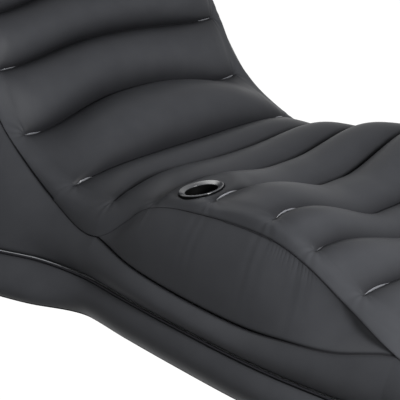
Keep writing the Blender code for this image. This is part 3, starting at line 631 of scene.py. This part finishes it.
def addNode(tree, kind, settings=None, links=None):
    node = tree.nodes.new(kind)
    for key, value in (settings or {}).items():
        if isinstance(key, int) or key in node.inputs:
            node.inputs[key].default_value = value
        else:
            setattr(node, key, value)
    for key, source in (links or {}).items():
        tree.links.new(source, node.inputs[key])
    return node


def newMaterial(name):
    made = bpy.data.materials.new(name)
    made.use_nodes = True
    made.node_tree.nodes.clear()
    return made, made.node_tree


pvc = {
    "color": "#333437",        # charcoal
    "worn": "#3b3c3f",         # where the satin is rubbed a little paler
    "paintedShade": "#121214",      # painted shade beside welds, seams and furrows
    "roughness": 0.45,
    "specular": 0.05,
    "grain": 0.0011,           # metres between the grain's bumps, drawn coarser than the real 0.3 mm
    "grainHeight": 0.0002,
    "grainStrength": 0.06,
    "wave": 0.055,             # metres between paler clouds of wear
}


# soft PVC, calendered to a satin: a broad soft shine with a faint fine grain
def calenderedPvc(name, color, worn, roughness, specular):
    made, tree = newMaterial(name)
    place = addNode(tree, "ShaderNodeTexCoord").outputs["Object"]
    cloud = addNode(tree, "ShaderNodeTexNoise", {"Scale": 1 / pvc["wave"], "Detail": 3.0, "Roughness": 0.5},
                    {"Vector": place})
    tint = addNode(tree, "ShaderNodeMix", {"data_type": "RGBA", 6: toLinear(color), 7: toLinear(worn)},
                   {0: cloud.outputs["Fac"]})
    # painted shade: the colour goes towards the shade colour by a vertex attribute, beside welds, seams and
    # furrows
    paintedShade = addNode(tree, "ShaderNodeAttribute", {"attribute_name": "paintedShade"})
    shaded = addNode(tree, "ShaderNodeMix", {"data_type": "RGBA", 7: toLinear(pvc["paintedShade"])},
                     {0: paintedShade.outputs["Fac"], 6: tint.outputs[2]})
    sheen = addNode(tree, "ShaderNodeMapRange", {"From Min": 0.3, "From Max": 0.7,
                                                 "To Min": roughness - 0.03, "To Max": roughness + 0.04},
                    {"Value": cloud.outputs["Fac"]})
    grain = addNode(tree, "ShaderNodeTexNoise", {"Scale": 1 / pvc["grain"], "Detail": 2.0, "Roughness": 0.55},
                    {"Vector": place})
    bump = addNode(tree, "ShaderNodeBump", {"Strength": pvc["grainStrength"], "Distance": pvc["grainHeight"]},
                   {"Height": grain.outputs["Fac"]})
    shader = addNode(tree, "ShaderNodeBsdfPrincipled", {"IOR": 1.53, "Specular IOR Level": specular},
                     {"Base Color": shaded.outputs[2], "Roughness": sheen.outputs["Result"],
                      "Normal": bump.outputs["Normal"]})
    addNode(tree, "ShaderNodeOutputMaterial", links={"Surface": shader.outputs["BSDF"]})
    return made


charcoalPvc = calenderedPvc("charcoalPvc", pvc["color"], pvc["worn"], pvc["roughness"], pvc["specular"])
# welded PVC: pressed flat between the heated bars, so it shines more; its paler colour is painted highlight
# along the welds
weldedPvc = calenderedPvc("weldedPvc", "#5a5b5f", "#66676b", 0.24, 0.5)
# squeezed-out PVC of the seam beads and the welt, duller than the sheet; its darker colour is painted shade
# of their grooves
seamPvc = calenderedPvc("seamPvc", "#202023", "#27272a", 0.5, 0.05)
# injection-moulded PVC of the valves, smoother and darker
mouldedPvc = calenderedPvc("mouldedPvc", "#26272a", "#2c2d30", 0.30, 0.25)
# the cup holder's moulding, coloured nearly black as painted shade of its deep well
cupPvc = calenderedPvc("cupPvc", "#030303", "#050505", 0.6, 0.02)
# its lip is polished by the mould
cupLipPvc = calenderedPvc("cupLipPvc", "#2a2b2e", "#313235", 0.22, 0.5)
# uncoloured PVC of the inner webs, milky and never seen from outside
naturalPvc = calenderedPvc("naturalPvc", "#9da0a3", "#a9acaf", 0.35, 0.3)
# soft rubber of the valves' flaps
valveRubber = calenderedPvc("valveRubber", "#1d1d1e", "#232324", 0.6, 0.2)
print("materials made")

columns = topColumns()
backrestSkin = makeSkin("backrestSkin", top, channelRows(0, crease, 30), columns, charcoalPvc,
                        roll={"first": "endSeam", "left": "endSeam", "right": "endSeam"}, shade=weldShade)
seatSkin = makeSkin("seatSkin", top, channelRows(crease, lastLine, 24), columns, charcoalPvc,
                    roll={"last": "endSeam", "left": "armSeam", "right": "armSeam"}, shade=weldShade)
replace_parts(backrestSkin, "backrest_sheet")
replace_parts(seatSkin, "seat_sheet")
armRows = np.linspace(armStart + armCrest["endGap"], armEnd - armCrest["endGap"], 420)
wallRows = channelRows(0, lastLine, 16)
baseRows = joined(eased(0, 1, 40, "last"), 1 + wallRows / lastLine, np.linspace(2, 3, 40))
for side, mirror in (("Far", False), ("Near", True)):
    panel = makeSkin("armPanel" + side, armPanel, armRows, eased(0, 1, 56), charcoalPvc,
                     mirror=mirror, roll={"left": "armSeam", "right": "wallSeam"})
    wall = makeSkin("sideWall" + side, sideWall, wallRows, eased(0, 1, 64), charcoalPvc,
                    mirror=mirror, roll={"left": "wallSeam", "right": "baseSeam"})
    base = makeSkin("baseWall" + side, baseWall, baseRows, eased(0, 1, 36), charcoalPvc,
                    mirror=mirror, roll={"left": "baseSeam", "right": "bottomSeam"})
    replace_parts(panel, "arm_panel_" + side.lower())
    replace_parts(wall, "side_wall_" + side.lower())
    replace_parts(base, "base_wall_" + side.lower())
first, second, third = rearWelds["shares"]
rearRows = joined(eased(0, first, 16), eased(first, second, 16),
                  eased(second, third, 28), eased(third, 1, 28))
endRoll = {"left": "endSeam", "right": "baseSeam", "first": "endSeam", "last": "endSeam"}
rearSkin = makeSkin("rearWall", rearWall, columns / 2, rearRows, charcoalPvc, shade=rearShade, roll=endRoll)
footSkin = makeSkin("footWall", footWall, columns / 2, eased(0, 1, 30), charcoalPvc, flip=True, roll=endRoll)
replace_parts(rearSkin, "rear_wall")
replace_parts(footSkin, "foot_wall")


# the flat sheet under the lounger, from the base wall's near lower edge to its far one
def bottomSheet(turn, share):
    edge = baseWall(turn, 1 + 0 * turn)
    return edge * np.stack([1 + 0 * share, share, 1 + 0 * share], -1)


bottomSkin = makeSkin("bottomSheet", bottomSheet, baseRows, np.linspace(-1, 1, 41), charcoalPvc)
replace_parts(bottomSkin, "bottom_sheet")
print("skin made")

# the welds: narrow bands pressed flat at the bottom of each groove, wider and raised at their two ends
bands = {
    "halfWidth": 0.0011,
    "tailHalfWidth": 0.0026,
    "rise": 0.0003,
    "tailRise": 0.0068,
    "sink": 0.0004,
    "tailLengths": {"back0": 0.055, "back1": 0.055, "back2": 0.050, "crease": 0.060, "seat3": 0.110,
                    "seat4": 0.120, "seat6": 0.100, "leg8": 0.070},
    "plainTail": 0.03,         # tail of the other welds, and how far it is raised
    "plainRaise": 0.1,
    "fullRaise": 0.4,          # shares of the tail: raised in full up to here, rounded off at its tip
    "tipShare": 0.3,
}


def weldBand(line):
    def surface(across, s):
        b = bands
        tailLength = b["tailLengths"].get(lines[line], b["plainTail"])
        raised = 1 if lines[line] in b["tailLengths"] else b["plainRaise"]
        at = line + 0 * across
        centre = top(at, across)
        normal = normalsOf(topBase, at, across)
        way = topBase(at + 0.01, across) - topBase(at - 0.01, across)
        way = way / np.linalg.norm(way, axis=-1, keepdims=True)
        fromTip = (1 - np.abs(across)) * weldLength
        tail = raised * (1 - smoothStep(fromTip, b["fullRaise"] * tailLength, tailLength))
        tip = np.sin(math.pi / 2 * np.clip(fromTip / (b["tipShare"] * tailLength), 0.0008, 1))
        width = (b["halfWidth"] + (b["tailHalfWidth"] - b["halfWidth"]) * tail) * tip
        rise = (b["rise"] + (b["tailRise"] - b["rise"]) * tail) * tip
        return centre + way * (s * width)[..., None] + normal * (rise * (1 - s**2) - b["sink"])[..., None]
    return surface


bandRows = joined(eased(-1, -0.7, 40), np.linspace(-0.7, 0.7, 60), eased(0.7, 1, 40))
for line in range(1, lastLine):
    makeSkin("weldBand" + str(line), weldBand(line), bandRows, np.linspace(-1, 1, 9), weldedPvc, flip=True)
print("welds made")


# upright webs tie each weld down to the base, or back to the rear wall
webs = {
    "rearShares": dict(zip(("back0", "back1", "back2"), rearWelds["shares"])),
    "upperClearance": 0.0012,
    "lowerClearance": 0.0011,
}


def webSheet(line):
    def surface(across, down):
        upper = top(line + 0 * across, across)
        if lines[line] in webs["rearShares"]:
            lower = rearWall(across / 2, webs["rearShares"][lines[line]] + 0 * across)
        else:
            lower = upper * np.array([1, 1, 0]) + np.array([0, 0, lounger["baseHeight"] + vinylThickness])
        way = lower - upper
        size = np.linalg.norm(way, axis=-1, keepdims=True)
        start, end = webs["upperClearance"] / size, 1 - webs["lowerClearance"] / size
        return upper + way * (start + (end - start) * down[..., None])
    return surface


for line in range(1, lastLine):
    web = makeSkin("web" + lines[line].capitalize(), webSheet(line), np.linspace(-1, 1, 81),
                   np.linspace(0, 1, 7), naturalPvc, offset=0)
    label = lines[line]
    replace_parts(web, "web_" + (label[:-1] + "_" + label[-1] if label[-1].isdigit() else label))
print("webs made")


def tube(name, points, radius, look, closed=False, sides=3):
    data = bpy.data.curves.new(name, "CURVE")
    data.dimensions = "3D"
    data.bevel_depth = radius
    data.bevel_resolution = sides
    data.use_fill_caps = True
    spline = data.splines.new("POLY")
    spline.points.add(len(points) - 1)
    for point, place in zip(spline.points, points):
        point.co = (*place, 1)
    spline.use_cyclic_u = closed
    spline.use_smooth = True
    data.materials.append(look)
    piece = bpy.data.objects.new(name, data)
    bpy.context.scene.collection.objects.link(piece)
    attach(piece, body)
    return piece


# seam beads lie at the bottom of the groove between two sheets
beads = {
    "armSeam": 0.0009,
    "wallSeam": 0.0012,
    "endSeam": 0.0013,
    "endSink": 0.002,          # below the line where the two sheets meet
    "weltRadius": 0.0030,
    "weltStandOff": 0.0048,
}


# a seam's line, sunk to the bottom of its groove between the two sheets' outward ways
def seamPath(upperNormals, lowerNormals, line, groove, place):
    way = upperNormals + lowerNormals
    way = way / np.linalg.norm(way, axis=-1, keepdims=True)
    strength = seamStrength(groove, place)
    sunk = grooves[groove][0] * strength + beads["armSeam"] * (1 - strength)
    return line - way * sunk[..., None]


armPlaces = np.linspace(armStart + 0.03, armEnd - 0.03, 200)
wallPlaces = np.linspace(0, lastLine, 400)
topTwo = 2.0 + 0 * armPlaces
armUpper = -normalsOf(top, armPlaces, topTwo - 0.004)
armSeamLine = seamPath(armUpper, normalsOf(armPanel, armPlaces, 0 * armPlaces + 0.002),
                       top(armPlaces, topTwo), "armSeam", armPlaces)
wallNormals = normalsOf(sideWall, np.clip(wallPlaces, 0.01, lastLine - 0.01), 0 * wallPlaces + 0.002)
upwards = np.array([0, 0, 0.4])    # the sheet above this seam faces a little higher than the wall
wallSeamLine = seamPath(wallNormals, wallNormals + upwards, wallEdge(wallPlaces), "wallSeam", wallPlaces)
for side, turn in (("Far", 1), ("Near", mirrorY)):
    tube("armSeam" + side, armSeamLine * turn, beads["armSeam"], seamPvc)
    tube("wallSeam" + side, wallSeamLine * turn, beads["wallSeam"], seamPvc)
turns = joined(eased(0, 1, 60, "last"), np.linspace(1, 2, 240), np.linspace(2, 3, 60))
half = baseLine(turns) + baseOutward(turns) * beads["weltStandOff"]
whole = np.concatenate([half, (half * mirrorY)[-2:0:-1]])
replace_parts(tube("baseWelt", whole, beads["weltRadius"], seamPvc, closed=True, sides=4), "base_welt")
ends = np.linspace(-2, 2, 160)
for name, line in (("headSeam", 0), ("footSeam", lastLine)):
    tube(name, top(line + 0 * ends, ends) - np.array([0, 0, beads["endSink"]]), beads["endSeam"], charcoalPvc)
print("seams made")


# a full turn of the outline round the cup's axis, with a polished lip
def turned(name, outline):
    bm = bmesh.new()
    points = [bm.verts.new((r, 0, z)) for r, z in outline]
    edges = [bm.edges.new(pair) for pair in zip(points, points[1:])]
    bmesh.ops.spin(bm, geom=points + edges, axis=(0, 0, 1), cent=(0, 0, 0), angle=2 * math.pi,
                   steps=cup["sides"], use_merge=True)
    bmesh.ops.remove_doubles(bm, verts=bm.verts, dist=0.00001)
    bmesh.ops.recalc_face_normals(bm, faces=bm.faces)
    for face in bm.faces:
        face.smooth = True
        face.material_index = int(face.calc_center_median().z > cup["polishedFrom"])
    bmesh.ops.transform(bm, verts=bm.verts, matrix=cupPlace)
    mesh = bpy.data.meshes.new(name)
    bm.to_mesh(mesh)
    bm.free()
    for look in (cupPvc, cupLipPvc):
        mesh.materials.append(look)
    piece = bpy.data.objects.new(name, mesh)
    bpy.context.scene.collection.objects.link(piece)
    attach(piece, body)
    return piece


def arc(radius, height, size, start, end, steps=8):
    turns = [math.radians(start + (end - start) * i / steps) for i in range(steps + 1)]
    return [(radius + size * math.cos(t), height + size * math.sin(t)) for t in turns]


# the cup holder: a shallow funnel flush with the skin, round a deep tapered well
def makeCupHolder():
    c = cup
    edge, roll = c["holeRounding"], c["rimRounding"]
    high, low = c["lipTop"] - roll, c["lipTop"] - c["lipFall"] - edge
    rim, hole, foot, wall, bottom = c["rimRadius"], c["holeRadius"], c["baseRadius"], c["wall"], -c["depth"]
    corner, under = c["footRounding"], c["footChamfer"]
    outline = [(0, bottom)] + arc(foot - corner, bottom + corner, corner, 270, 360)
    outline += [(hole - c["wellTaperIn"], low - c["wellDrop"])] + arc(hole + edge, low, edge, 180, 100)
    outline += arc(rim - roll, high, roll, 105, -10)
    outline += [(rim, -c["collarDepth"]), (rim - wall, -c["collarDepth"]), (rim - wall, high - roll),
                (hole + wall, low - 2 * edge), (foot + wall, bottom + under), (foot - under, bottom - wall),
                (0, bottom - wall)]
    made = turned("cupHolder", outline)
    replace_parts(made, "cup_holder")


makeCupHolder()


# the skin opens round the cup holder's collar
def cutCupHole():
    radius = cup["rimRadius"] + cup["holeClearance"]
    bm = bmesh.new()
    bmesh.ops.create_cone(bm, cap_ends=True, segments=cup["sides"], radius1=radius, radius2=radius,
                          depth=cup["toolDepth"], matrix=cupPlace)
    mesh = bpy.data.meshes.new("cupHoleTool")
    bm.to_mesh(mesh)
    bm.free()
    tool = bpy.data.objects.new("cupHoleTool", mesh)
    bpy.context.scene.collection.objects.link(tool)
    cut = seatSkin.modifiers.new("cupHole", "BOOLEAN")
    cut.operation = "DIFFERENCE"
    cut.object = tool
    graph = bpy.context.evaluated_depsgraph_get()
    final = bpy.data.meshes.new_from_object(seatSkin.evaluated_get(graph))
    seatSkin.modifiers.clear()
    seatSkin.data = final
    bpy.data.objects.remove(tool)


cutCupHole()
print("cup holder made")

# finishes of the CAD pieces that stay, by how their names start
finishes = {"base_web": naturalPvc, "chamber": naturalPvc,
            "upper_valve": mouldedPvc, "base_valve": mouldedPvc}
for node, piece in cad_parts.items():
    for start, look in finishes.items():
        if node.startswith(start):
            piece.data.materials.clear()
            piece.data.materials.append(valveRubber if node.endswith("flap") else look)

studio = {
    "floorSize": 60,
    "lampDistance": 3.4,
    "skyStrength": 0.04,
    # power, size, azimuth from +X and elevation of each lamp
    "lamps": {
        "keyLamp": (215, 0.6, -8, 26),
        "topLamp": (20, 2.2, -80, 50),
        "rearLamp": (46, 2.0, 168, 30),
    },
    "paperColor": "#9c9c9c",   # as it lies in the lamps' light
    "paperGlow": 1.1,          # as it is seen
    "paperGlowShare": 0.93,    # the rest still takes the object's shadow
    "cameraPlace": (2.403, -2.669, 1.677),
    "cameraTarget": (0, -0.351, 0.35),
    "lens": 135,
}


# 1 for the rays that show the background: to the camera, in a reflection or through something clear
def shownRays(tree):
    rays = addNode(tree, "ShaderNodeLightPath").outputs
    direct = addNode(tree, "ShaderNodeMath", {"operation": "MAXIMUM"},
                     {0: rays["Is Camera Ray"], 1: rays["Is Glossy Ray"]})
    shown = addNode(tree, "ShaderNodeMath", {"operation": "MAXIMUM"},
                    {0: direct.outputs[0], 1: rays["Is Transmission Ray"]})
    return shown.outputs[0]


def makeStudio():
    s = studio
    scene = bpy.context.scene
    white = toLinear("#ffffff")
    bm = bmesh.new()
    bmesh.ops.create_grid(bm, x_segments=1, y_segments=1, size=s["floorSize"])
    mesh = bpy.data.meshes.new("floor")
    bm.to_mesh(mesh)
    bm.free()
    floor = bpy.data.objects.new("floor", mesh)
    scene.collection.objects.link(floor)
    # white paper, matt: it keeps the object's shadow and else shows as plain white
    paper, tree = newMaterial("whitePaper")
    share = addNode(tree, "ShaderNodeMath", {"operation": "MULTIPLY", 1: s["paperGlowShare"]},
                    {0: shownRays(tree)})
    sheet = addNode(tree, "ShaderNodeBsdfDiffuse", {"Color": toLinear(s["paperColor"])})
    glow = addNode(tree, "ShaderNodeEmission", {"Color": white, "Strength": s["paperGlow"]})
    both = addNode(tree, "ShaderNodeMixShader",
                   links={0: share.outputs[0], 1: sheet.outputs[0], 2: glow.outputs[0]})
    addNode(tree, "ShaderNodeOutputMaterial", links={"Surface": both.outputs[0]})
    mesh.materials.append(paper)
    world = bpy.data.worlds.new("studioWorld")
    scene.world = world
    world.use_nodes = True
    tree = world.node_tree
    tree.nodes.clear()
    sky = addNode(tree, "ShaderNodeBackground", {"Color": white, "Strength": s["skyStrength"]})
    backdrop = addNode(tree, "ShaderNodeBackground", {"Color": white, "Strength": 1.0})
    both = addNode(tree, "ShaderNodeMixShader",
                   links={0: shownRays(tree), 1: sky.outputs[0], 2: backdrop.outputs[0]})
    addNode(tree, "ShaderNodeOutputWorld", links={"Surface": both.outputs[0]})
    target = Vector(s["cameraTarget"])
    for name, (power, size, azimuth, elevation) in s["lamps"].items():
        lamp = bpy.data.lights.new(name, "AREA")
        lamp.size = size
        lamp.energy = power
        made = bpy.data.objects.new(name, lamp)
        turn, rise = math.radians(azimuth), math.radians(elevation)
        way = Vector((math.cos(rise) * math.cos(turn), math.cos(rise) * math.sin(turn), math.sin(rise)))
        made.location = target + way * s["lampDistance"]
        made.rotation_euler = way.to_track_quat("Z", "Y").to_euler()
        scene.collection.objects.link(made)
    camera = bpy.data.cameras.new("photoCamera")
    camera.lens = s["lens"]
    camera.sensor_width = 36
    view = bpy.data.objects.new("photoCamera", camera)
    view.location = s["cameraPlace"]
    aim = Vector(s["cameraTarget"]) - Vector(s["cameraPlace"])
    view.rotation_euler = aim.to_track_quat("-Z", "Y").to_euler()
    scene.collection.objects.link(view)
    scene.camera = view
    scene.view_settings.view_transform = "Standard"


makeStudio()
print("studio made")
